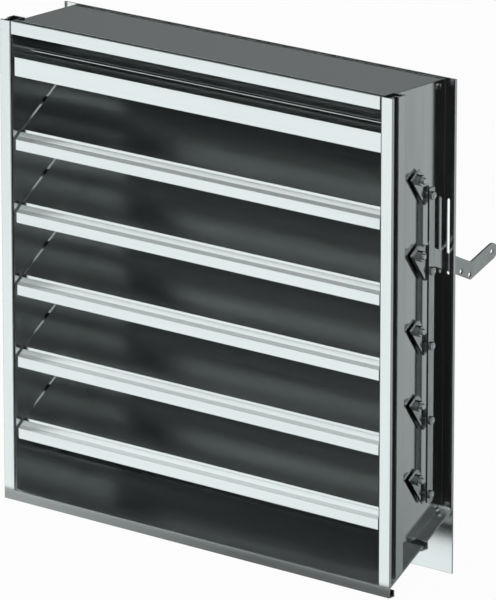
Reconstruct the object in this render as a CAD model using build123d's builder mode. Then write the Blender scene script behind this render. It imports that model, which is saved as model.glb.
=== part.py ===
from build123d import *
import math
import os

# Adjustable drainable louver: a frame of four extrusions screwed together, a fixed header blade,
# five pivoting blades and a crank linkage in the right jamb's channel.
# X runs across the face, Y from the weather face to the rear, Z up.
# The origin is the middle of the frame's front bottom edge. Blades stand fully open.

# Frame
frame_width = 762.0
frame_height = 762.0
frame_depth = 152.4
jamb_face = 20.5
head_face = 19.9
frame_wall = 2.2
box_depth = 32.0
caulk_start = 5.0
caulk_width = 10.5
caulk_depth = 5.0
jamb_corner = 3.6
rear_return = 5.0
head_recess = 2.0
head_lip = 4.0
head_groove = 9.0
head_groove_depth = 6.0
head_rib_drop = 0.5

# Sill
sill_angle = 30.0
nose_height = 15.8
nose_hook_depth = 12.5
nose_hook_rise = 10.0
trough_start = 77.0
trough_width = 15.0
trough_drop = 6.5
trough_lip = 2.0

# Blades
blade_count = 5
master_blade = 2
blade_angle = 35.0
blade_wall = 2.0
axle_depth = 81.2
first_axle_drop = 140.4
last_axle_height = 161.6
blade_end_gap = 3.0
lip_setback = 5.0
lip_height = 17.0
facet_depth = 5.0
facet_angle = 36.5
lip_reach = 61.6
ridge_setback = 12.2
ridge_height = 6.2
rear_setback = 6.4
rear_hook = 10.0
boss_wall = 1.8
boss_slit = 3.0

# Header blade
header_drop = 24.2
header_face = 29.6
header_ridge_setback = 24.9
header_ridge_radius = 5.0
header_tab = 14.0
header_end_gap = 0.3
stop_clearance = 1.0

# Axles and bearings
axle_diameter = 9.5
axle_grip = 45.0
axle_stub = 19.0
left_axle_stub = 4.5
axle_chamfer = 0.95
running_clearance = 0.05
bearing_nose_diameter = 13.4
bearing_wall = 2.2
bearing_stand = 3.0
thrust_gap = 0.4
axle_nut_flats = 14.3
axle_nut_height = 7.0

# Linkage in the right jamb channel
bracket_gap = 0.2
bracket_thickness = 3.2
bracket_width = 23.5
bracket_above = 10.6
bracket_below = 43.0
bracket_corner = 1.6
pin_reach = 36.2
pin_offset = 4.2
spare_hole_offset = -5.0
spare_hole_diameter = 4.8
pin_diameter = 6.35
pin_head_diameter = 10.0
pin_head_height = 1.8
pin_thread_end = 0.8
pin_nut_flats = 11.1
pin_nut_height = 3.8
spacer_diameter = 10.0
face_gap = 0.1
link_width = 13.0
link_thickness = 3.2
link_overhang = 12.0
link_gap = 0.3

# Crank arm
arm_thickness = 2.7
arm_width = 25.4
arm_angle = -24.5
arm_lift = 6.1
arm_start = 4.0
arm_reach = 132.3
elbow_angle = 45.0
arm_tail = 54.0
arm_hole_diameter = 7.2
arm_hole_spacing = 22.8
arm_hole_drop = 6.2
slot_width = 5.3
slot_below = 4.4
slot_above = 117.0

# Screws
boss_bore = 4.2
screw_boss_wall = 2.0
screw_head_diameter = 9.5
screw_head_height = 3.0
screw_length = 18.0
head_screw_drop = 10.6
head_screw_front = 48.6
head_screw_setback = 18.5
sill_screw_setback = 14.4
sill_boss_rise = 6.0
header_screw_diameter = 4.2
header_screw_count = 3
header_screw_edge = 60.0
header_screw_head_diameter = 8.4
header_screw_head_height = 2.4

# Places that follow from the sizes above
half_width = frame_width / 2
web_out = half_width - jamb_face
web_in = web_out - frame_wall
blade_half = web_in - blade_end_gap
plate_top = frame_height - head_recess
plate_under = plate_top - frame_wall
axle_radius = axle_diameter / 2
head_screw_rear = frame_depth - head_screw_setback
sill_screw_depth = frame_depth - sill_screw_setback
blade_pitch = (frame_height - first_axle_drop - last_axle_height) / (blade_count - 1)
slope = math.radians(blade_angle)
axle_heights = [frame_height - first_axle_drop - k * blade_pitch for k in range(blade_count)]
lip_y = lip_setback - axle_depth
rear_y = frame_depth - rear_setback - axle_depth
hinge_radius = axle_radius + running_clearance
bearing_radius = hinge_radius + bearing_wall
pin_radius = pin_diameter / 2
pin_hole_radius = pin_radius + running_clearance
pin_y = pin_reach * math.sin(slope) + pin_offset * math.cos(slope)
pin_z = pin_offset * math.sin(slope) - pin_reach * math.cos(slope)
bracket_in = web_out + bearing_stand + bracket_gap
bracket_out = bracket_in + bracket_thickness
arm_out = bracket_out + arm_thickness
link_in = arm_out + link_gap
link_out = link_in + link_thickness
plate_mid = axle_radius + blade_wall / 2


def pan_z(y):
    """Height of the sill pan's top surface at a depth."""
    return nose_height + y * math.tan(math.radians(sill_angle))


def plate_z(y):
    """Height of a blade plate's middle above its axle, at a depth from the axle."""
    return plate_mid / math.cos(slope) + y * math.tan(slope)


def strip(points, wall):
    """Open wall of even thickness about a line of points, with mitred corners."""
    path = [Vector(*point) for point in points]
    sides = []
    for i, point in enumerate(path):
        before = (point - path[i - 1]).normalized() if i > 0 else None
        after = (path[i + 1] - point).normalized() if i + 1 < len(path) else None
        along_in = before or after
        along_out = after or before
        across = Vector(-along_in.Y - along_out.Y, along_in.X + along_out.X).normalized()
        reach = wall / 2 / across.dot(Vector(-along_in.Y, along_in.X))
        sides.append((point + across * reach, point - across * reach))
    outline = [side[0] for side in sides] + [side[1] for side in reversed(sides)]
    with BuildSketch() as section:
        with BuildLine():
            Polyline(*outline, close=True)
        make_face()
    return section.sketch


def ring(centre, bore, outside, slit, slit_angle):
    """Screw or axle boss: a ring with a slit that opens towards an angle."""
    with BuildSketch() as section:
        with Locations(centre):
            Circle(outside)
        with Locations(Location((centre[0], centre[1], 0), (0, 0, slit_angle))):
            Rectangle(2 * outside, slit, align=(Align.MIN, Align.CENTER), mode=Mode.SUBTRACT)
        with Locations(centre):
            Circle(bore, mode=Mode.SUBTRACT)
    return section.sketch


def finish(builder, label):
    """Label a finished sub-part and write it under its own name."""
    builder.part.label = label
    export_step(builder.part, f"parts/{label}.step")


os.makedirs("parts", exist_ok=True)

# Jambs: channels that open outwards, with a hollow front box and a caulk groove in its side
half_wall = frame_wall / 2
web_mid = web_out - half_wall
side_mid = half_width - half_wall
front_mid = half_wall
rear_mid = frame_depth - half_wall
caulk_end = caulk_start + caulk_width
with BuildSketch() as jamb_section:
    add(strip([
        (side_mid, frame_depth - rear_return),
        (side_mid, rear_mid),
        (web_mid, rear_mid),
        (web_mid, front_mid),
        (side_mid, front_mid),
        (side_mid, caulk_start - half_wall),
        (side_mid - caulk_depth, caulk_start - half_wall),
        (side_mid - caulk_depth, caulk_end + half_wall),
        (side_mid, caulk_end + half_wall),
        (side_mid, box_depth - half_wall),
    ], frame_wall))
    box_mid = box_depth - half_wall
    add(strip([(half_width, box_mid), (web_mid, box_mid)], frame_wall))
    fillet(jamb_section.vertices().sort_by_distance((web_in, 0))[0], jamb_corner)

# The pan's top surface, as the cutting plane for the feet of the jambs
pan_plane = Plane(origin=(0, 0, nose_height), x_dir=(1, 0, 0),
                  z_dir=(0, -math.sin(math.radians(sill_angle)), math.cos(math.radians(sill_angle))))
head_screw_height = frame_height - head_screw_drop
web_screws = [(head_screw_front, head_screw_height), (head_screw_rear, head_screw_height),
              (sill_screw_depth, pan_z(sill_screw_depth) + sill_boss_rise)]
arm_direction = Vector(math.cos(math.radians(arm_angle)), math.sin(math.radians(arm_angle)))
arm_normal = Vector(-arm_direction.Y, arm_direction.X)
master_height = axle_heights[master_blade - 1]
arm_centre = (bracket_out + arm_out) / 2
slot_reach = frame_depth - axle_depth
arm_at_slot = (master_height + arm_lift / math.cos(math.radians(arm_angle))
               + slot_reach * math.tan(math.radians(arm_angle)))
slot_bottom = arm_at_slot - arm_width / 2 / math.cos(math.radians(arm_angle)) - slot_below
slot_middle = slot_bottom + slot_above / 2
web_top_size = (frame_wall, frame_depth - frame_wall - box_depth, head_recess)
web_top_depth = (box_depth + frame_depth - frame_wall) / 2
web_top_height = (plate_top + frame_height) / 2

with BuildPart() as right_jamb:
    with BuildSketch():
        add(jamb_section.sketch)
    extrude(amount=frame_height)
    split(bisect_by=pan_plane, keep=Keep.TOP)
    with Locations((web_mid, web_top_depth, web_top_height)):
        Box(*web_top_size, mode=Mode.SUBTRACT)
    with BuildSketch(Plane.YZ.offset(web_in)):
        with Locations(*[(axle_depth, z) for z in axle_heights]):
            Circle(bearing_radius)
        with Locations(*web_screws):
            Circle(boss_bore / 2)
    extrude(amount=frame_wall, mode=Mode.SUBTRACT)
    with BuildSketch(Plane.XZ.offset(-frame_depth)):
        with Locations((arm_centre, slot_middle)):
            SlotOverall(slot_above, slot_width, rotation=90)
    extrude(amount=frame_wall, mode=Mode.SUBTRACT)
finish(right_jamb, "right_jamb")

with BuildPart() as left_jamb:
    with BuildSketch():
        mirror(jamb_section.sketch, about=Plane.YZ)
    extrude(amount=frame_height)
    split(bisect_by=pan_plane, keep=Keep.TOP)
    with Locations((-web_mid, web_top_depth, web_top_height)):
        Box(*web_top_size, mode=Mode.SUBTRACT)
    with BuildSketch(Plane.YZ.offset(-web_out)):
        with Locations(*[(axle_depth, z) for z in axle_heights]):
            Circle(bearing_radius)
        with Locations(*web_screws):
            Circle(boss_bore / 2)
    extrude(amount=frame_wall, mode=Mode.SUBTRACT)
finish(left_jamb, "left_jamb")

# Head: a front box with a groove along its top, a rib behind it, a top plate and a rear flange
plate_line = plate_top - half_wall
groove_line = frame_height - head_groove_depth - half_wall
rib_mid = head_lip + head_groove + half_wall
rib_top = frame_height - head_rib_drop - half_wall
head_bosses = [(depth, head_screw_height) for depth in (head_screw_front, head_screw_rear)]
with BuildPart() as head:
    with BuildSketch(Plane.YZ.offset(-web_in)):
        add(strip([
            (head_lip, frame_height - half_wall),
            (front_mid, frame_height - half_wall),
            (front_mid, frame_height - head_face + half_wall),
            (box_depth - half_wall, frame_height - head_face + half_wall),
            (box_depth - half_wall, plate_line),
        ], frame_wall))
        add(strip([(0, groove_line), (rib_mid, groove_line), (rib_mid, rib_top)], frame_wall))
        with Locations((rib_mid, rib_top)):
            Circle(half_wall)
        add(strip([(rib_mid, plate_line), (frame_depth, plate_line)], frame_wall))
        add(strip([(rear_mid, frame_height), (rear_mid, frame_height - head_face)], frame_wall))
        for boss in head_bosses:
            add(strip([boss, (boss[0], plate_line)], frame_wall))
        with Locations(*head_bosses):
            Circle(boss_bore / 2 + screw_boss_wall)
            Circle(boss_bore / 2, mode=Mode.SUBTRACT)
    extrude(amount=2 * web_in)
finish(head, "head")

# Sill: hooked nose, sloping pan with a drain trough, and a rear leg down to the base
pan_wall = frame_wall / math.cos(math.radians(sill_angle))
pan_drop = pan_wall / 2
trough_end = trough_start + trough_width
trough_floor = pan_z(trough_start) - trough_drop + half_wall
sill_boss = (sill_screw_depth, pan_z(sill_screw_depth) + sill_boss_rise)
with BuildPart() as sill:
    with BuildSketch(Plane.YZ.offset(-half_width)):
        add(strip([
            (nose_hook_depth - half_wall, nose_hook_rise),
            (nose_hook_depth - half_wall, half_wall),
            (front_mid, half_wall),
            (front_mid, pan_z(front_mid) - pan_drop),
            (trough_start + half_wall, pan_z(trough_start + half_wall) - pan_drop),
            (trough_start + half_wall, trough_floor),
            (trough_end - half_wall, trough_floor),
            (trough_end - half_wall, pan_z(trough_end - half_wall) - pan_drop),
            (rear_mid, pan_z(rear_mid) - pan_drop),
            (rear_mid, 0),
        ], frame_wall))
        add(strip([
            (trough_end - half_wall, pan_z(trough_end - half_wall) - pan_drop),
            (trough_end - half_wall - trough_lip, pan_z(trough_end - half_wall - trough_lip) - pan_drop),
        ], frame_wall))
    extrude(amount=2 * half_width)
    with BuildSketch(Plane.YZ.offset(-web_in)):
        add(strip([sill_boss, (sill_screw_depth, pan_z(sill_screw_depth) - pan_drop)], frame_wall))
        with Locations(sill_boss):
            Circle(boss_bore / 2 + screw_boss_wall)
            Circle(boss_bore / 2, mode=Mode.SUBTRACT)
    extrude(amount=2 * web_in)
finish(sill, "sill")

# Header blade: fixed behind the head's face, with the stop that the top blade closes under
header_axle = frame_height - header_drop
header_front = lip_setback + blade_wall / 2
header_base = header_axle - lip_reach
tab_line = plate_under - blade_wall / 2
header_bend = axle_depth + (tab_line - header_axle - plate_mid / math.cos(slope)) / math.tan(slope)
hook_tip = math.hypot(rear_y, plate_z(rear_y) + rear_hook)
stop_bottom = axle_heights[0] + hook_tip + stop_clearance
ridge_y = lip_setback + header_ridge_setback - axle_depth
ridge_centre = header_axle + plate_z(ridge_y) + blade_wall / 2 + header_ridge_radius
screw_pitch = 2 * (blade_half - header_screw_edge) / (header_screw_count - 1)
screw_first = header_screw_edge - blade_half
screw_line = header_bend + header_tab / 2
tab_screws = [(screw_first + k * screw_pitch, screw_line) for k in range(header_screw_count)]
header_half = web_in - header_end_gap
with BuildPart() as header_blade:
    with BuildSketch(Plane.YZ.offset(-header_half)):
        add(strip([(header_front, header_base), (header_front, header_base + header_face)], blade_wall))
        add(strip([
            (header_front, header_axle + plate_z(header_front - axle_depth)),
            (header_bend, tab_line),
            (header_bend + header_tab, tab_line),
        ], blade_wall))
        with Locations((axle_depth + ridge_y, ridge_centre)):
            Circle(header_ridge_radius)
        add(strip([(axle_depth, header_axle + plate_z(0)), (axle_depth, stop_bottom)], blade_wall))
    extrude(amount=2 * header_half)
    with BuildSketch(Plane.XY.offset(tab_line - blade_wall)):
        with Locations(*tab_screws):
            Circle(header_screw_diameter / 2)
    extrude(amount=2 * blade_wall, mode=Mode.SUBTRACT)
finish(header_blade, "header_blade")

# Blade section about its axle: hanging lip, front facet, drain ridge, sloping plate, rear hook
# and axle boss
lip_mid = lip_y + blade_wall / 2
lip_top = lip_height - lip_reach - blade_wall / 2
ridge_mid = lip_y + ridge_setback + blade_wall / 2
rear_line = rear_y - blade_wall / 2
with BuildSketch() as blade_section:
    add(strip([
        (lip_mid, -lip_reach),
        (lip_mid, lip_top),
        (lip_mid + facet_depth, lip_top + facet_depth * math.tan(math.radians(facet_angle))),
        (ridge_mid, plate_z(ridge_mid) + blade_wall / 2),
    ], blade_wall))
    add(strip([
        (ridge_mid, plate_z(ridge_mid)),
        (rear_line, plate_z(rear_line)),
        (rear_line, plate_z(rear_line) + rear_hook),
    ], blade_wall))
    add(strip([
        (ridge_mid, plate_z(ridge_mid) - blade_wall / 2),
        (ridge_mid, plate_z(ridge_mid) + ridge_height),
    ], blade_wall))
    add(ring((0, 0), axle_radius, axle_radius + boss_wall, boss_slit, blade_angle - 90))

# Bracket section about its axle: a strap square to the blade, with the pin hole and a spare hole
with BuildSketch() as bracket_section:
    with Locations(Location((0, 0, 0), (0, 0, blade_angle))):
        with Locations((0, (bracket_above - bracket_below) / 2)):
            RectangleRounded(bracket_width, bracket_above + bracket_below, bracket_corner)

arm_elbow = arm_direction * arm_reach + arm_normal * arm_lift
tail_direction = arm_direction.rotate(Axis.Z, elbow_angle)
arm_tip = arm_elbow + tail_direction * arm_tail
strap_start = arm_direction * arm_start + arm_normal * arm_lift
elbow_hole = arm_elbow - arm_normal * arm_hole_drop
elbow_holes = [elbow_hole, elbow_hole - arm_direction * arm_hole_spacing]
with BuildSketch() as arm_section:
    add(bracket_section.sketch)
    add(strip([(corner.X, corner.Y) for corner in (strap_start, arm_elbow, arm_tip)], arm_width))
    with Locations((arm_tip.X, arm_tip.Y)):
        Circle(arm_width / 2)
        Circle(arm_hole_diameter / 2, mode=Mode.SUBTRACT)
    with Locations(*[(hole.X, hole.Y) for hole in elbow_holes]):
        Circle(arm_hole_diameter / 2, mode=Mode.SUBTRACT)


def pierce():
    """Axle hole and link pin hole of a bracket or the crank arm."""
    with BuildSketch() as holes:
        Circle(axle_radius)
        with Locations((pin_y, pin_z)):
            Circle(pin_hole_radius)
    return holes.sketch


def hexagon(flats):
    """Outline of a nut by its width across flats."""
    with BuildSketch() as outline:
        RegularPolygon(flats / 2, 6, major_radius=False)
    return outline.sketch


for number, height in enumerate(axle_heights, start=1):
    blade_name = f"blade_{number}"
    nut_base = arm_out if number == master_blade else bracket_out

    with BuildPart() as blade:
        with BuildSketch(Plane.YZ.offset(-blade_half)):
            with Locations((axle_depth, height)):
                add(blade_section.sketch)
        extrude(amount=2 * blade_half)
    finish(blade, blade_name)

    with BuildPart() as right_axle:
        with BuildSketch(Plane.YZ.offset(blade_half - axle_grip)):
            with Locations((axle_depth, height)):
                Circle(axle_radius)
        extrude(amount=web_out + axle_stub - blade_half + axle_grip)
        chamfer(right_axle.edges().sort_by(Axis.X)[-1], axle_chamfer)
    finish(right_axle, f"{blade_name}_right_axle")

    with BuildPart() as left_axle:
        with BuildSketch(Plane.YZ.offset(-web_out - left_axle_stub)):
            with Locations((axle_depth, height)):
                Circle(axle_radius)
        extrude(amount=web_out + left_axle_stub - blade_half + axle_grip)
    finish(left_axle, f"{blade_name}_left_axle")

    with BuildPart() as bracket:
        with BuildSketch(Plane.YZ.offset(bracket_in)):
            with Locations((axle_depth, height)):
                add(bracket_section.sketch)
                add(pierce(), mode=Mode.SUBTRACT)
                with Locations(Location((0, 0, 0), (0, 0, blade_angle))):
                    with Locations((spare_hole_offset, -pin_reach)):
                        Circle(spare_hole_diameter / 2, mode=Mode.SUBTRACT)
        extrude(amount=bracket_thickness)
    finish(bracket, f"{blade_name}_bracket")

    with BuildPart() as axle_nut:
        with BuildSketch(Plane.YZ.offset(nut_base)):
            with Locations((axle_depth, height)):
                add(hexagon(axle_nut_flats))
                Circle(axle_radius, mode=Mode.SUBTRACT)
        extrude(amount=axle_nut_height)
    finish(axle_nut, f"{blade_name}_axle_nut")

# Crank arm: laid on the master bracket, out through the rear flange's slot
with BuildPart() as crank_arm:
    with BuildSketch(Plane.YZ.offset(bracket_out)):
        with Locations((axle_depth, master_height)):
            add(arm_section.sketch)
            add(pierce(), mode=Mode.SUBTRACT)
    extrude(amount=arm_thickness)
finish(crank_arm, "crank_arm")

# Link: one flat bar that ties the brackets together, with its pins, spacers and nuts
pin_heights = [height + pin_z for height in axle_heights]
pin_places = [(axle_depth + pin_y, height) for height in pin_heights]
link_length = pin_heights[0] - pin_heights[-1] + 2 * link_overhang
with BuildPart() as link_bar:
    with BuildSketch(Plane.YZ.offset(link_in)):
        with Locations((axle_depth + pin_y, (pin_heights[0] + pin_heights[-1]) / 2)):
            Rectangle(link_width, link_length)
        with Locations(*pin_places):
            Circle(pin_radius, mode=Mode.SUBTRACT)
    extrude(amount=link_thickness)
finish(link_bar, "link_bar")

with BuildPart() as link_pins:
    with BuildSketch(Plane.YZ.offset(bracket_in - face_gap - pin_head_height)):
        with Locations(*pin_places):
            Circle(pin_head_diameter / 2)
    extrude(amount=pin_head_height)
    with BuildSketch(Plane.YZ.offset(bracket_in - face_gap)):
        with Locations(*pin_places):
            Circle(pin_radius)
    extrude(amount=link_out + pin_nut_height + pin_thread_end - bracket_in + face_gap)
finish(link_pins, "link_pins")

with BuildPart() as link_spacers:
    with BuildSketch(Plane.YZ.offset(bracket_out + face_gap)):
        with Locations(*[place for place in pin_places if place != pin_places[master_blade - 1]]):
            Circle(spacer_diameter / 2)
            Circle(pin_radius, mode=Mode.SUBTRACT)
    extrude(amount=link_in - bracket_out - face_gap)
finish(link_spacers, "link_spacers")

with BuildPart() as link_nuts:
    with BuildSketch(Plane.YZ.offset(link_out)):
        with Locations(*pin_places):
            add(hexagon(pin_nut_flats))
            Circle(pin_radius, mode=Mode.SUBTRACT)
    extrude(amount=pin_nut_height)
finish(link_nuts, "link_nuts")


def bearings(inner_face, outward):
    """Bushes pressed into one web: a thrust nose inside, the hub through to the outside."""
    nose = blade_end_gap - thrust_gap
    hub = frame_wall + bearing_stand
    places = [(axle_depth, height) for height in axle_heights]
    with BuildPart() as bushes:
        with BuildSketch(Plane.YZ.offset(inner_face)):
            with Locations(*places):
                Circle(bearing_nose_diameter / 2)
        extrude(amount=-outward * nose)
        with BuildSketch(Plane.YZ.offset(inner_face)):
            with Locations(*places):
                Circle(bearing_radius)
        extrude(amount=outward * hub)
        with BuildSketch(Plane.YZ.offset(inner_face)):
            with Locations(*places):
                Circle(hinge_radius)
        extrude(amount=hub, both=True, mode=Mode.SUBTRACT)
    return bushes


finish(bearings(web_in, 1), "right_bearings")
finish(bearings(-web_in, -1), "left_bearings")

# Frame screws: pan heads outside the webs, shanks in the bosses of the head and sill
with BuildPart() as frame_screws:
    for side in (1, -1):
        with BuildSketch(Plane.YZ.offset(side * web_out)):
            with Locations(*web_screws):
                Circle(screw_head_diameter / 2)
        extrude(amount=side * screw_head_height)
        with BuildSketch(Plane.YZ.offset(side * web_out)):
            with Locations(*web_screws):
                Circle(boss_bore / 2)
        extrude(amount=-side * screw_length)
finish(frame_screws, "frame_screws")

# Header screws: from below through the header blade's tab
with BuildPart() as header_screws:
    with BuildSketch(Plane.XY.offset(tab_line - blade_wall / 2)):
        with Locations(*tab_screws):
            Circle(header_screw_diameter / 2)
    extrude(amount=blade_wall)
    with BuildSketch(Plane.XY.offset(tab_line - blade_wall / 2)):
        with Locations(*tab_screws):
            Circle(header_screw_head_diameter / 2)
    extrude(amount=-header_screw_head_height)
finish(header_screws, "header_screws")
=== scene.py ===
import math

import bmesh
import bpy
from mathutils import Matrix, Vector


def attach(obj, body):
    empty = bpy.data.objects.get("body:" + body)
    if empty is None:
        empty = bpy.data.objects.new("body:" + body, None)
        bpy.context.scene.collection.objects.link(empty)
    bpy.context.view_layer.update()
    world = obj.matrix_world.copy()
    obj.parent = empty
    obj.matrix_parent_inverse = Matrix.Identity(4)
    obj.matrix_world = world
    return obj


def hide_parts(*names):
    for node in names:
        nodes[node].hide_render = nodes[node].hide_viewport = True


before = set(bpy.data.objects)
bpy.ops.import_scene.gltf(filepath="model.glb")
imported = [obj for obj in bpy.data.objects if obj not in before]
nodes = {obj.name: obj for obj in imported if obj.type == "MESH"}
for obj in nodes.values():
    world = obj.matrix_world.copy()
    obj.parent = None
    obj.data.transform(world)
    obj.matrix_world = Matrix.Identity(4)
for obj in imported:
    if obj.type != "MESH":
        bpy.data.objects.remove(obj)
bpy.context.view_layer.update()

# Camera, fitted to the photograph: a long lens from the front right, a little above
CAMERA_PLACE = Vector((6.2028, -7.3080, 3.1637))
CAMERA_SIGHT = Vector((-0.61514, 0.73775, -0.27807))
CAMERA_LENS = 399.9
CAMERA_REACH = 100.0
SENSOR_HEIGHT = 36.0

# Ways to the soft boxes. From the camera the upright fronts mirror the front one, the blades' slopes the
# high one, the roof the rear one and the right web the right one.
FRONT_WAY = (-0.615, -0.738, -0.262)
HIGH_WAY = (-0.615, -0.245, 0.750)
HIGH_RIGHT_WAY = (0.615, -0.245, 0.750)
REAR_WAY = (-0.50, 0.83, 0.24)
RIGHT_WAY = (0.615, 0.738, -0.230)
THROUGH_WAY = (-0.615, 0.738, -0.265)
BELOW_WAY = (-0.545, -0.410, -0.745)
SIDE_WAY = (0.68, -0.39, -0.62)
OVER_WAY = (0.61, 0.13, 0.78)
NEAR_WAY = (0.84, -0.48, 0.26)
TOP_WAY = (0, 0, 1)
FACE_WAY = (0, -1, 0.05)
LEFT_WAY = (-1, 0, 0)
BACK_WAY = (0, 1, -0.3)

# Soft boxes: the way to each, the angles in degrees at which it starts and ends fading, and its brightness
SOFT_BOXES = [
    (FRONT_WAY, 7, 11.5, 1.32),
    (HIGH_WAY, 9.5, 12.5, 1.40),
    (HIGH_RIGHT_WAY, 9.5, 14, 1.30),
    (REAR_WAY, 8, 20, 0.205),
    (RIGHT_WAY, 3.5, 8.5, 0.59),
    (THROUGH_WAY, 4, 10, 0.065),
    (BELOW_WAY, 4, 9, 0.80),
    (SIDE_WAY, 10, 20, 0.30),
    (OVER_WAY, 15, 35, 0.09),
    (NEAR_WAY, 14, 28, 0.30),
    (TOP_WAY, 16, 28, 0.80),
    (FACE_WAY, 14, 26, 0.80),
    (LEFT_WAY, 10, 20, 0.80),
    (BACK_WAY, 8, 16, 0.60),
]
LIGHT_TINT = (0.935, 1.0, 0.999)
DIM = 0.004

# Floor. It is clear to reflections, apart from a painted shade along the sill: a dim glowing strip that
# only reflections see, brighter at its left.
FLOOR_SIZE = 40.0
FLOOR_DROP = 0.0005
FLOOR_COLOUR = (0.9, 0.9, 0.9, 1)
FLOOR_GLOW = 0.97
PAINTED_SHADE_FRONT = -0.040
PAINTED_SHADE_BACK = 0.020
PAINTED_SHADE_FADE = 0.006
PAINTED_SHADE_LEFT = -0.35
PAINTED_SHADE_RIGHT = 0.10
PAINTED_SHADE_LEFT_BRIGHTNESS = 0.45
PAINTED_SHADE_RIGHT_BRIGHTNESS = 0.17

# Finishes: colours, and grain in cells a metre along each axis
ALUMINIUM = (0.725, 0.742, 0.741)
ZINC = (0.76, 0.78, 0.78)
NYLON = (0.022, 0.023, 0.025)
DRAWN_ACROSS = (3, 900, 900)
DRAWN_UPRIGHT = (900, 900, 3)
SPECKS = (260, 260, 260)
NOISE_SPAN = (0.3, 0.7)
CLOUD_TONE = (0.94, 1.02)
GRAIN_TONE = (-0.025, 0.025)
CLOUD_ROUGHNESS = (-0.02, 0.03)
GRAIN_ROUGHNESS = (-0.02, 0.02)
BUMP_HEIGHT = 0.0002

# Edges painted brighter, partly as rubbed wear and partly as painted highlight: the cosines over which a
# bent normal counts as an edge, and where specks break it up
EDGE_SPAN = (0.995, 0.90)
EDGE_SPECKS = (0.38, 0.60)
EDGE_SHARE = 0.8
EDGE_GAIN = 1.22
EDGE_LIFT = 0.01

# Sockets of a colour mix, which share their names with those for numbers
MIX_SHARE = 0
MIX_FIRST = 6
MIX_SECOND = 7
MIX_RESULT = 2

# Round hardware, in metres; a share is of the radius unless it says otherwise
ROUND_POINTS = 48
ROUND = [math.tau * k / ROUND_POINTS for k in range(ROUND_POINTS)]
CORNER_ANGLE = math.radians(28)
AXLE_PITCH = 0.00159
PIN_PITCH = 0.00127
THREAD_DEPTH_SHARE_OF_PITCH = 0.55
THREAD_FLANK = 1.25
THREAD_END_SHARE = 0.2
RINGS_A_TURN = 8

# Hex nuts
NUT_FACE_SHARE = 0.97
NUT_CHAMFER = math.radians(30)
BORE_MOUTH_SHARE = 1.06
BORE_THREAD_SHARE = 0.97
BORE_MOUTH_DEPTH_SHARE = 0.1

# Link pins: radius, and the domed head's outline as shares of its height and radius
PIN_RADIUS = 0.003175
PIN_HEAD_HEIGHT = 0.0018
PIN_HEAD_OUTLINE = [(0.0, 0.45), (0.12, 0.72), (0.4, 0.93), (0.75, 1.0), (1.0, 1.0)]

# Pan head screws, with shares of the head's height and radius
FRAME_HEAD_HEIGHT = 0.003
HEADER_HEAD_HEIGHT = 0.0024
SHANK_RADIUS = 0.0021
SHANK_TIP_SHARE = 0.6
HEAD_UNDER_SHARE = 0.97
HEAD_EDGE_START = 0.08
HEAD_EDGE_END = 0.45
DOME_SHARES = (0.93, 0.8, 0.65)
RECESS_ARM = 0.0022
RECESS_HALF_WIDTH = 0.00045
RECESS_DEPTH = 0.0012
RECESS_ANGLES = (0.35, 0.55, math.pi / 4, 1.02, 1.22)
RECESS_TAPER_SHARE = 0.82
RECESS_CENTRE_SHARE = 0.3
RECESS_CENTRE_DEPTH = 1.3 * RECESS_DEPTH


def tree(owner):
    """Emptied node tree of a material or world, as a maker of nodes and a maker of links."""
    owner.use_nodes = True
    owner.node_tree.nodes.clear()

    def make(kind, **settings):
        node = owner.node_tree.nodes.new(kind)
        for name, setting in settings.items():
            setattr(node, name, setting)
        return node

    return make, owner.node_tree.links.new


def feed(link, value, socket):
    """Sets an input to a number, or links another node's output to it."""
    if isinstance(value, float):
        socket.default_value = value
    else:
        link(value, socket)


def times(make, link, first, second):
    """Product of an output and a second output or number."""
    product = make("ShaderNodeMath", operation="MULTIPLY")
    link(first, product.inputs[0])
    feed(link, second, product.inputs[1])
    return product.outputs[0]


def added(make, link, first, second):
    """Sum of two outputs."""
    total = make("ShaderNodeMath", operation="ADD")
    link(first, total.inputs[0])
    link(second, total.inputs[1])
    return total.outputs[0]


def brightest(make, link, values):
    """Largest of several outputs, but no less than the dim surroundings."""
    result = DIM
    for value in values:
        largest = make("ShaderNodeMath", operation="MAXIMUM")
        link(value, largest.inputs[0])
        feed(link, result, largest.inputs[1])
        result = largest.outputs[0]
    return result


def step(make, link, value, start, end):
    """Smooth rise from 0 to 1 as a value goes from start to end."""
    rise = make("ShaderNodeMapRange", interpolation_type="SMOOTHSTEP")
    rise.inputs["From Min"].default_value = start
    rise.inputs["From Max"].default_value = end
    link(value, rise.inputs["Value"])
    return rise.outputs["Result"]


def ranged(make, link, value, start, end, low, high):
    """Number that goes from low to high while a value goes from start to end."""
    rise = make("ShaderNodeMapRange")
    for name, number in (("From Min", start), ("From Max", end), ("To Min", low), ("To Max", high)):
        rise.inputs[name].default_value = number
    link(value, rise.inputs["Value"])
    return rise.outputs["Result"]


def band(make, link, value, start, end, fade):
    """1 while a value lies between start and end, with soft edges outside them."""
    rise = step(make, link, value, start - fade, start)
    fall = step(make, link, value, end + fade, end)
    return times(make, link, rise, fall)


def along(make, link, place, direction):
    """Distance of a place along a direction."""
    reach = make("ShaderNodeVectorMath", operation="DOT_PRODUCT")
    reach.inputs[1].default_value = direction
    link(place, reach.inputs[0])
    return reach.outputs["Value"]


def noise(make, link, place, stretch, detail):
    """Noise in a place's own axes, with so many cells a metre along each."""
    mapping = make("ShaderNodeMapping")
    mapping.inputs["Scale"].default_value = stretch
    link(place, mapping.inputs["Vector"])
    texture = make("ShaderNodeTexNoise")
    texture.inputs["Scale"].default_value = 1.0
    texture.inputs["Detail"].default_value = detail
    link(mapping.outputs["Vector"], texture.inputs["Vector"])
    return texture.outputs["Fac"]


def scaled(make, link, colour, value):
    """Colour made brighter or darker by an output."""
    product = make("ShaderNodeVectorMath", operation="SCALE")
    product.inputs[0].default_value = colour
    link(value, product.inputs["Scale"])
    return product.outputs[0]


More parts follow.
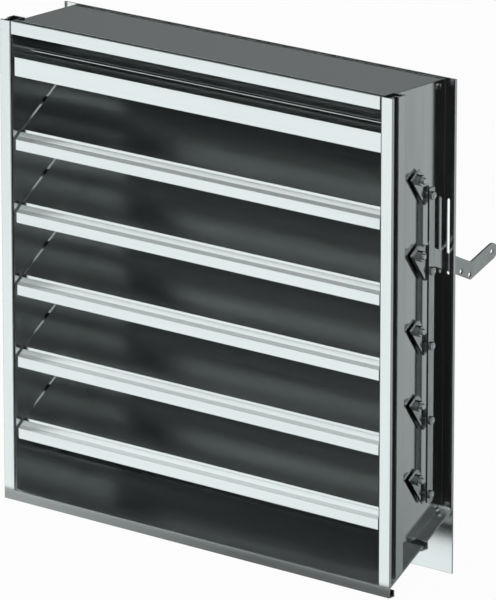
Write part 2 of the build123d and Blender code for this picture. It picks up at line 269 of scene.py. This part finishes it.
def mixed(make, link, share, first, second):
    """Shader that goes from the first to the second as a share goes from 0 to 1."""
    mix = make("ShaderNodeMixShader")
    feed(link, share, mix.inputs[0])
    link(first.outputs[0], mix.inputs[1])
    link(second.outputs[0], mix.inputs[2])
    return mix


def make_camera():
    """Camera at the photograph's place."""
    camera = bpy.data.objects.new("camera", bpy.data.cameras.new("camera"))
    camera.data.sensor_fit = "VERTICAL"
    camera.data.sensor_height = SENSOR_HEIGHT
    camera.data.lens = CAMERA_LENS
    camera.data.clip_end = CAMERA_REACH
    camera.location = CAMERA_PLACE
    camera.rotation_euler = CAMERA_SIGHT.to_track_quat("-Z", "Y").to_euler()
    bpy.context.scene.collection.objects.link(camera)
    bpy.context.scene.camera = camera


def soft_boxes(make, link, direction):
    """Brightness of the surroundings in a direction."""
    boxes = []
    for centre, inner, outer, value in SOFT_BOXES:
        facing = along(make, link, direction, Vector(centre).normalized())
        rise = step(make, link, facing, math.cos(math.radians(outer)), math.cos(math.radians(inner)))
        boxes.append(times(make, link, rise, value))
    return brightest(make, link, boxes)


def make_world():
    """White to the camera, and soft boxes in the dark for what the metal mirrors."""
    world = bpy.data.worlds.new("studio")
    bpy.context.scene.world = world
    make, link = tree(world)
    direction = make("ShaderNodeTexCoord").outputs["Generated"]
    surround = make("ShaderNodeBackground")
    brightness = soft_boxes(make, link, direction)
    link(scaled(make, link, LIGHT_TINT, brightness), surround.inputs["Color"])
    white = make("ShaderNodeBackground")
    white.inputs["Color"].default_value = (1, 1, 1, 1)
    light_path = make("ShaderNodeLightPath")
    for_camera = mixed(make, link, light_path.outputs["Is Camera Ray"], surround, white)
    out = make("ShaderNodeOutputWorld")
    link(for_camera.outputs[0], out.inputs["Surface"])


def make_floor():
    """Pale floor that keeps the object's shadow; to reflections it is clear, apart from a painted shade
    strip before the sill.
    """
    mesh = bpy.data.meshes.new("floor")
    half = FLOOR_SIZE / 2
    corners = [(-half, -half, 0), (half, -half, 0), (half, half, 0), (-half, half, 0)]
    mesh.from_pydata(corners, [], [(0, 1, 2, 3)])
    floor = bpy.data.objects.new("floor", mesh)
    floor.location.z = -FLOOR_DROP
    bpy.context.scene.collection.objects.link(floor)
    material = bpy.data.materials.new("floor")
    mesh.materials.append(material)
    make, link = tree(material)
    place = make("ShaderNodeNewGeometry").outputs["Position"]
    light_path = make("ShaderNodeLightPath")

    width = along(make, link, place, (1.0, 0.0, 0.0))
    depth = along(make, link, place, (0.0, 1.0, 0.0))
    # Painted shade: a dim glowing strip before the sill that only reflections see, standing in for the
    # floor's shade there
    painted_shade = make("ShaderNodeEmission")
    painted_shade.inputs["Color"].default_value = (*LIGHT_TINT, 1)
    link(ranged(make, link, width, PAINTED_SHADE_LEFT, PAINTED_SHADE_RIGHT, PAINTED_SHADE_LEFT_BRIGHTNESS, PAINTED_SHADE_RIGHT_BRIGHTNESS),
         painted_shade.inputs["Strength"])
    clear = make("ShaderNodeBsdfTransparent")
    mirrored = mixed(make, link, band(make, link, depth, PAINTED_SHADE_FRONT, PAINTED_SHADE_BACK, PAINTED_SHADE_FADE), clear, painted_shade)

    pale = make("ShaderNodeBsdfDiffuse")
    pale.inputs["Color"].default_value = FLOOR_COLOUR
    white = make("ShaderNodeEmission")
    seen = mixed(make, link, FLOOR_GLOW, pale, white)
    for_camera = mixed(make, link, light_path.outputs["Is Camera Ray"], pale, seen)
    for_metal = mixed(make, link, light_path.outputs["Is Glossy Ray"], for_camera, mirrored)
    out = make("ShaderNodeOutputMaterial")
    link(for_metal.outputs[0], out.inputs["Surface"])


def finish(name, colour, metallic, roughness, grain, cloud, bump, edge_width):
    """Material with fine grain, slow clouds of colour and roughness, and edges painted brighter, partly as
    rubbed wear and partly as painted highlight.
    """
    material = bpy.data.materials.new(name)
    make, link = tree(material)
    place = make("ShaderNodeTexCoord").outputs["Object"]
    lines = noise(make, link, place, grain, 2.0)
    clouds = noise(make, link, place, cloud, 4.0)
    specks = noise(make, link, place, SPECKS, 3.0)

    rounded = make("ShaderNodeBevel", samples=4)
    rounded.inputs["Radius"].default_value = edge_width
    flat = make("ShaderNodeNewGeometry")
    alike = make("ShaderNodeVectorMath", operation="DOT_PRODUCT")
    link(rounded.outputs["Normal"], alike.inputs[0])
    link(flat.outputs["Normal"], alike.inputs[1])
    # Edges painted brighter in colour and broken up by specks: partly rubbed wear, partly painted highlight
    edge = times(make, link, step(make, link, alike.outputs["Value"], *EDGE_SPAN),
                 step(make, link, specks, *EDGE_SPECKS))

    tone = added(make, link, ranged(make, link, clouds, *NOISE_SPAN, *CLOUD_TONE),
                 ranged(make, link, lines, *NOISE_SPAN, *GRAIN_TONE))
    bright = [min(1.0, part * EDGE_GAIN + EDGE_LIFT) for part in colour]
    edge_wear_and_highlight = make("ShaderNodeMix", data_type="RGBA")
    edge_wear_and_highlight.inputs[MIX_SECOND].default_value = (*bright, 1)
    link(times(make, link, edge, EDGE_SHARE), edge_wear_and_highlight.inputs[MIX_SHARE])
    link(scaled(make, link, colour, tone), edge_wear_and_highlight.inputs[MIX_FIRST])

    smoothest, roughest = [roughness + change for change in CLOUD_ROUGHNESS]
    matte = added(make, link, ranged(make, link, clouds, *NOISE_SPAN, smoothest, roughest),
                  ranged(make, link, lines, *NOISE_SPAN, *GRAIN_ROUGHNESS))
    surface = make("ShaderNodeBump")
    surface.inputs["Strength"].default_value = bump
    surface.inputs["Distance"].default_value = BUMP_HEIGHT
    link(added(make, link, lines, specks), surface.inputs["Height"])
    link(rounded.outputs["Normal"], surface.inputs["Normal"])

    shader = make("ShaderNodeBsdfPrincipled")
    shader.inputs["Metallic"].default_value = metallic
    link(edge_wear_and_highlight.outputs[MIX_RESULT], shader.inputs["Base Color"])
    link(matte, shader.inputs["Roughness"])
    link(surface.outputs["Normal"], shader.inputs["Normal"])
    out = make("ShaderNodeOutputMaterial")
    link(shader.outputs[0], out.inputs["Surface"])
    return material


def solids(name):
    """Lowest and highest corner of each separate solid of a CAD node."""
    mesh = bmesh.new()
    mesh.from_mesh(nodes[name].data)
    mesh.transform(nodes[name].matrix_world)
    bmesh.ops.remove_doubles(mesh, verts=mesh.verts, dist=1e-6)
    left = set(mesh.verts)
    boxes = []
    while left:
        fresh = [left.pop()]
        group = []
        while fresh:
            vertex = fresh.pop()
            group.append(vertex.co.copy())
            for edge in vertex.link_edges:
                other = edge.other_vert(vertex)
                if other in left:
                    left.remove(other)
                    fresh.append(other)
        boxes.append((Vector(min(place[i] for place in group) for i in range(3)),
                      Vector(max(place[i] for place in group) for i in range(3))))
    mesh.free()
    return sorted(boxes, key=lambda corners: tuple(corners[0]))


def lowest_first(boxes):
    """Boxes in the order of their height."""
    return sorted(boxes, key=lambda corners: corners[0].z)


def middle(low, high, x):
    """Point on the X-wise axis of a box."""
    return Vector((x, (low.y + high.y) / 2, (low.z + high.z) / 2))


def turned(mesh, angles, rings, origin, out, hollow=False):
    """Adds a solid about an axis: each ring has a distance along it and a radius for every angle."""
    out = Vector(out)
    across = Vector((1, 0, 0)) if out.z else Vector((0, 0, 1))
    up = out.cross(across)
    rows = []
    for ring in rings:
        row = []
        for angle, (distance, radius) in zip(angles, ring):
            spoke = across * math.cos(angle) + up * math.sin(angle)
            row.append(mesh.verts.new(origin + out * distance + spoke * radius))
        rows.append(row)
    following = rows[1:] + rows[:1] if hollow else rows[1:]
    for first, second in zip(rows, following):
        for i in range(len(angles)):
            mesh.faces.new((first[i - 1], first[i], second[i], second[i - 1]))
    if not hollow:
        mesh.faces.new(rows[0])
        mesh.faces.new(rows[-1])


def circle(distance, radius, angles=ROUND):
    """Ring with one distance and radius at every angle."""
    return [(distance, radius)] * len(angles)


def thread(start, end, radius, pitch):
    """Rings of a screw thread, with its end chamfered."""
    count = round((end - start) / pitch * RINGS_A_TURN)
    rings = []
    for k in range(count + 1):
        distance = start + (end - start) * k / count
        ring = []
        for angle in ROUND:
            phase = (distance / pitch - angle / math.tau) % 1.0
            height = min(1.0, THREAD_FLANK * (1 - abs(2 * phase - 1)))
            crest = min(radius, radius - THREAD_END_SHARE * radius + end - distance)
            root = radius - THREAD_DEPTH_SHARE_OF_PITCH * pitch * (1 - height)
            ring.append((distance, min(crest, root)))
        rings.append(ring)
    return rings


def hex_nut(mesh, low, high, bore):
    """Nut in a solid's box, with both faces chamfered so that the chamfers scallop the flats."""
    half_flats = (high.z - low.z) / 2
    height = high.x - low.x
    face = half_flats * NUT_FACE_SHARE
    corner = []
    for angle in ROUND:
        apothem = (angle + math.pi / 6) % (math.pi / 3) - math.pi / 6
        corner.append(half_flats / math.cos(apothem))
    drop = [max(0.0, radius - face) * math.tan(NUT_CHAMFER) for radius in corner]
    mouth = bore * BORE_MOUTH_SHARE
    mouth_depth = bore * BORE_MOUTH_DEPTH_SHARE
    turned(mesh, ROUND, [
        circle(0.0, mouth),
        circle(0.0, face),
        list(zip(drop, corner)),
        [(height - fall, radius) for fall, radius in zip(drop, corner)],
        circle(height, face),
        circle(height, mouth),
        circle(height - mouth_depth, bore * BORE_THREAD_SHARE),
        circle(mouth_depth, bore * BORE_THREAD_SHARE),
    ], middle(low, high, low.x), (1, 0, 0), hollow=True)


def pan_screw(mesh, origin, out, radius, height, shank):
    """Screw with a domed head and a cross recess; the origin is under its head."""
    tip = math.atan(RECESS_HALF_WIDTH / RECESS_ARM)
    quarter = [0.0, tip, *RECESS_ANGLES, math.pi / 2 - tip]
    angles = [turn * math.pi / 2 + angle for turn in range(4) for angle in quarter]
    cross = []
    for angle in angles:
        cosine = max(abs(math.cos(angle)), 1e-9)
        sine = max(abs(math.sin(angle)), 1e-9)
        cross.append(max(min(RECESS_ARM / cosine, RECESS_HALF_WIDTH / sine),
                         min(RECESS_ARM / sine, RECESS_HALF_WIDTH / cosine)))

    def dome(reach):
        round_share = math.sqrt(max(0.0, 1 - (reach / radius) ** 2))
        return height * (HEAD_EDGE_END + (1 - HEAD_EDGE_END) * round_share)

    turned(mesh, angles, [
        circle(-shank, SHANK_RADIUS * SHANK_TIP_SHARE, angles),
        circle(-shank + SHANK_RADIUS, SHANK_RADIUS, angles),
        circle(0.0, SHANK_RADIUS, angles),
        circle(0.0, radius * HEAD_UNDER_SHARE, angles),
        circle(height * HEAD_EDGE_START, radius, angles),
        circle(height * HEAD_EDGE_END, radius, angles),
        *[circle(dome(radius * share), radius * share, angles) for share in DOME_SHARES],
        [(dome(reach), reach) for reach in cross],
        [(dome(reach) - RECESS_DEPTH, reach * RECESS_TAPER_SHARE) for reach in cross],
        [(height - RECESS_CENTRE_DEPTH, reach * RECESS_CENTRE_SHARE) for reach in cross],
    ], origin, out)


def piece(name, mesh, material, body, *stands_for):
    """Finished piece of hardware, which rides on a body in place of CAD nodes."""
    bmesh.ops.recalc_face_normals(mesh, faces=mesh.faces)
    for face in mesh.faces:
        face.smooth = True
    for edge in mesh.edges:
        edge.smooth = edge.calc_face_angle(0.0) < CORNER_ANGLE
    data = bpy.data.meshes.new(name)
    mesh.to_mesh(data)
    mesh.free()
    data.materials.append(material)
    thing = bpy.data.objects.new(name, data)
    bpy.context.scene.collection.objects.link(thing)
    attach(thing, body)
    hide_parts(*stands_for)


def make_axle(blade, material):
    """Rod with a threaded, chamfered end, and its hex nut."""
    rod_low, rod_high = solids(f"{blade}_right_axle")[0]
    nut_low, nut_high = solids(f"{blade}_axle_nut")[0]
    radius = (rod_high.z - rod_low.z) / 2
    length = rod_high.x - rod_low.x
    thread_start = nut_low.x - rod_low.x
    rod = bmesh.new()
    rings = [circle(0.0, radius), circle(thread_start, radius)]
    rings += thread(thread_start + AXLE_PITCH / 2, length, radius, AXLE_PITCH)
    turned(rod, ROUND, rings, middle(rod_low, rod_high, rod_low.x), (1, 0, 0))
    piece(f"{blade}_threaded_axle", rod, material, f"{blade}_assembly", f"{blade}_right_axle")
    nut = bmesh.new()
    hex_nut(nut, nut_low, nut_high, radius)
    piece(f"{blade}_hex_nut", nut, material, f"{blade}_assembly", f"{blade}_axle_nut")


def make_link_hardware(material):
    """Link pins with domed heads and threaded ends, and their hex nuts."""
    pins = bmesh.new()
    nuts = bmesh.new()
    pin_boxes = lowest_first(solids("link_pins"))
    nut_boxes = lowest_first(solids("link_nuts"))
    for (pin_low, pin_high), (nut_low, nut_high) in zip(pin_boxes, nut_boxes):
        head = (pin_high.z - pin_low.z) / 2
        length = pin_high.x - pin_low.x
        thread_start = nut_low.x - pin_low.x
        rings = [circle(PIN_HEAD_HEIGHT * rise, head * reach) for rise, reach in PIN_HEAD_OUTLINE]
        rings += [circle(PIN_HEAD_HEIGHT, PIN_RADIUS), circle(thread_start, PIN_RADIUS)]
        rings += thread(thread_start + PIN_PITCH / 2, length, PIN_RADIUS, PIN_PITCH)
        turned(pins, ROUND, rings, middle(pin_low, pin_high, pin_low.x), (1, 0, 0))
        hex_nut(nuts, nut_low, nut_high, PIN_RADIUS)
    piece("link_bolts", pins, material, "link_assembly", "link_pins")
    piece("link_hex_nuts", nuts, material, "link_assembly", "link_nuts")


def make_screws(material):
    """Pan head screws of the frame and of the header blade."""
    frame_screws = bmesh.new()
    for low, high in solids("frame_screws"):
        side = 1 if low.x > 0 else -1
        outside = high.x if side > 0 else low.x
        under_head = middle(low, high, outside - side * FRAME_HEAD_HEIGHT)
        pan_screw(frame_screws, under_head, (side, 0, 0), (high.z - low.z) / 2, FRAME_HEAD_HEIGHT,
                  high.x - low.x - FRAME_HEAD_HEIGHT)
    piece("frame_pan_screws", frame_screws, material, "frame", "frame_screws")
    header_screws = bmesh.new()
    for low, high in solids("header_screws"):
        under_head = (low + high) / 2
        under_head.z = low.z + HEADER_HEAD_HEIGHT
        pan_screw(header_screws, under_head, (0, 0, -1), (high.x - low.x) / 2, HEADER_HEAD_HEIGHT,
                  high.z - low.z - HEADER_HEAD_HEIGHT)
    piece("header_pan_screws", header_screws, material, "frame", "header_screws")


def dress(material, name):
    """Gives a CAD node its finish."""
    for material_slot in nodes[name].material_slots:
        material_slot.material = material


make_camera()
make_world()
make_floor()

drawn_across = finish("aluminium_drawn_across", ALUMINIUM, metallic=1.0, roughness=0.19,
                      grain=DRAWN_ACROSS, cloud=(2, 14, 14), bump=0.06, edge_width=0.0009)
drawn_upright = finish("aluminium_drawn_upright", ALUMINIUM, metallic=1.0, roughness=0.19,
                       grain=DRAWN_UPRIGHT, cloud=(14, 14, 2), bump=0.06, edge_width=0.0009)
cut_plate = finish("aluminium_plate", ALUMINIUM, metallic=1.0, roughness=0.22,
                   grain=(500, 500, 60), cloud=(40, 40, 20), bump=0.08, edge_width=0.0005)
zinc = finish("zinc_steel", ZINC, metallic=1.0, roughness=0.19,
              grain=(1500, 300, 300), cloud=(120, 120, 120), bump=0.04, edge_width=0.0003)
nylon = finish("bearing_nylon", NYLON, metallic=0.0, roughness=0.42,
               grain=(700, 700, 700), cloud=(60, 60, 60), bump=0.15, edge_width=0.0003)

blades = sorted(name for name in nodes if name[:-1] == "blade_")
for name in nodes:
    if name.endswith("jamb"):
        dress(drawn_upright, name)
    elif name in ("head", "sill", "header_blade", *blades):
        dress(drawn_across, name)
    elif name.endswith("bracket") or name in ("crank_arm", "link_bar"):
        dress(cut_plate, name)
    elif name.endswith("bearings"):
        dress(nylon, name)
    else:
        dress(zinc, name)

for blade in blades:
    make_axle(blade, zinc)
make_link_hardware(zinc)
make_screws(zinc)

scene = bpy.context.scene
scene.view_settings.view_transform = "Standard"
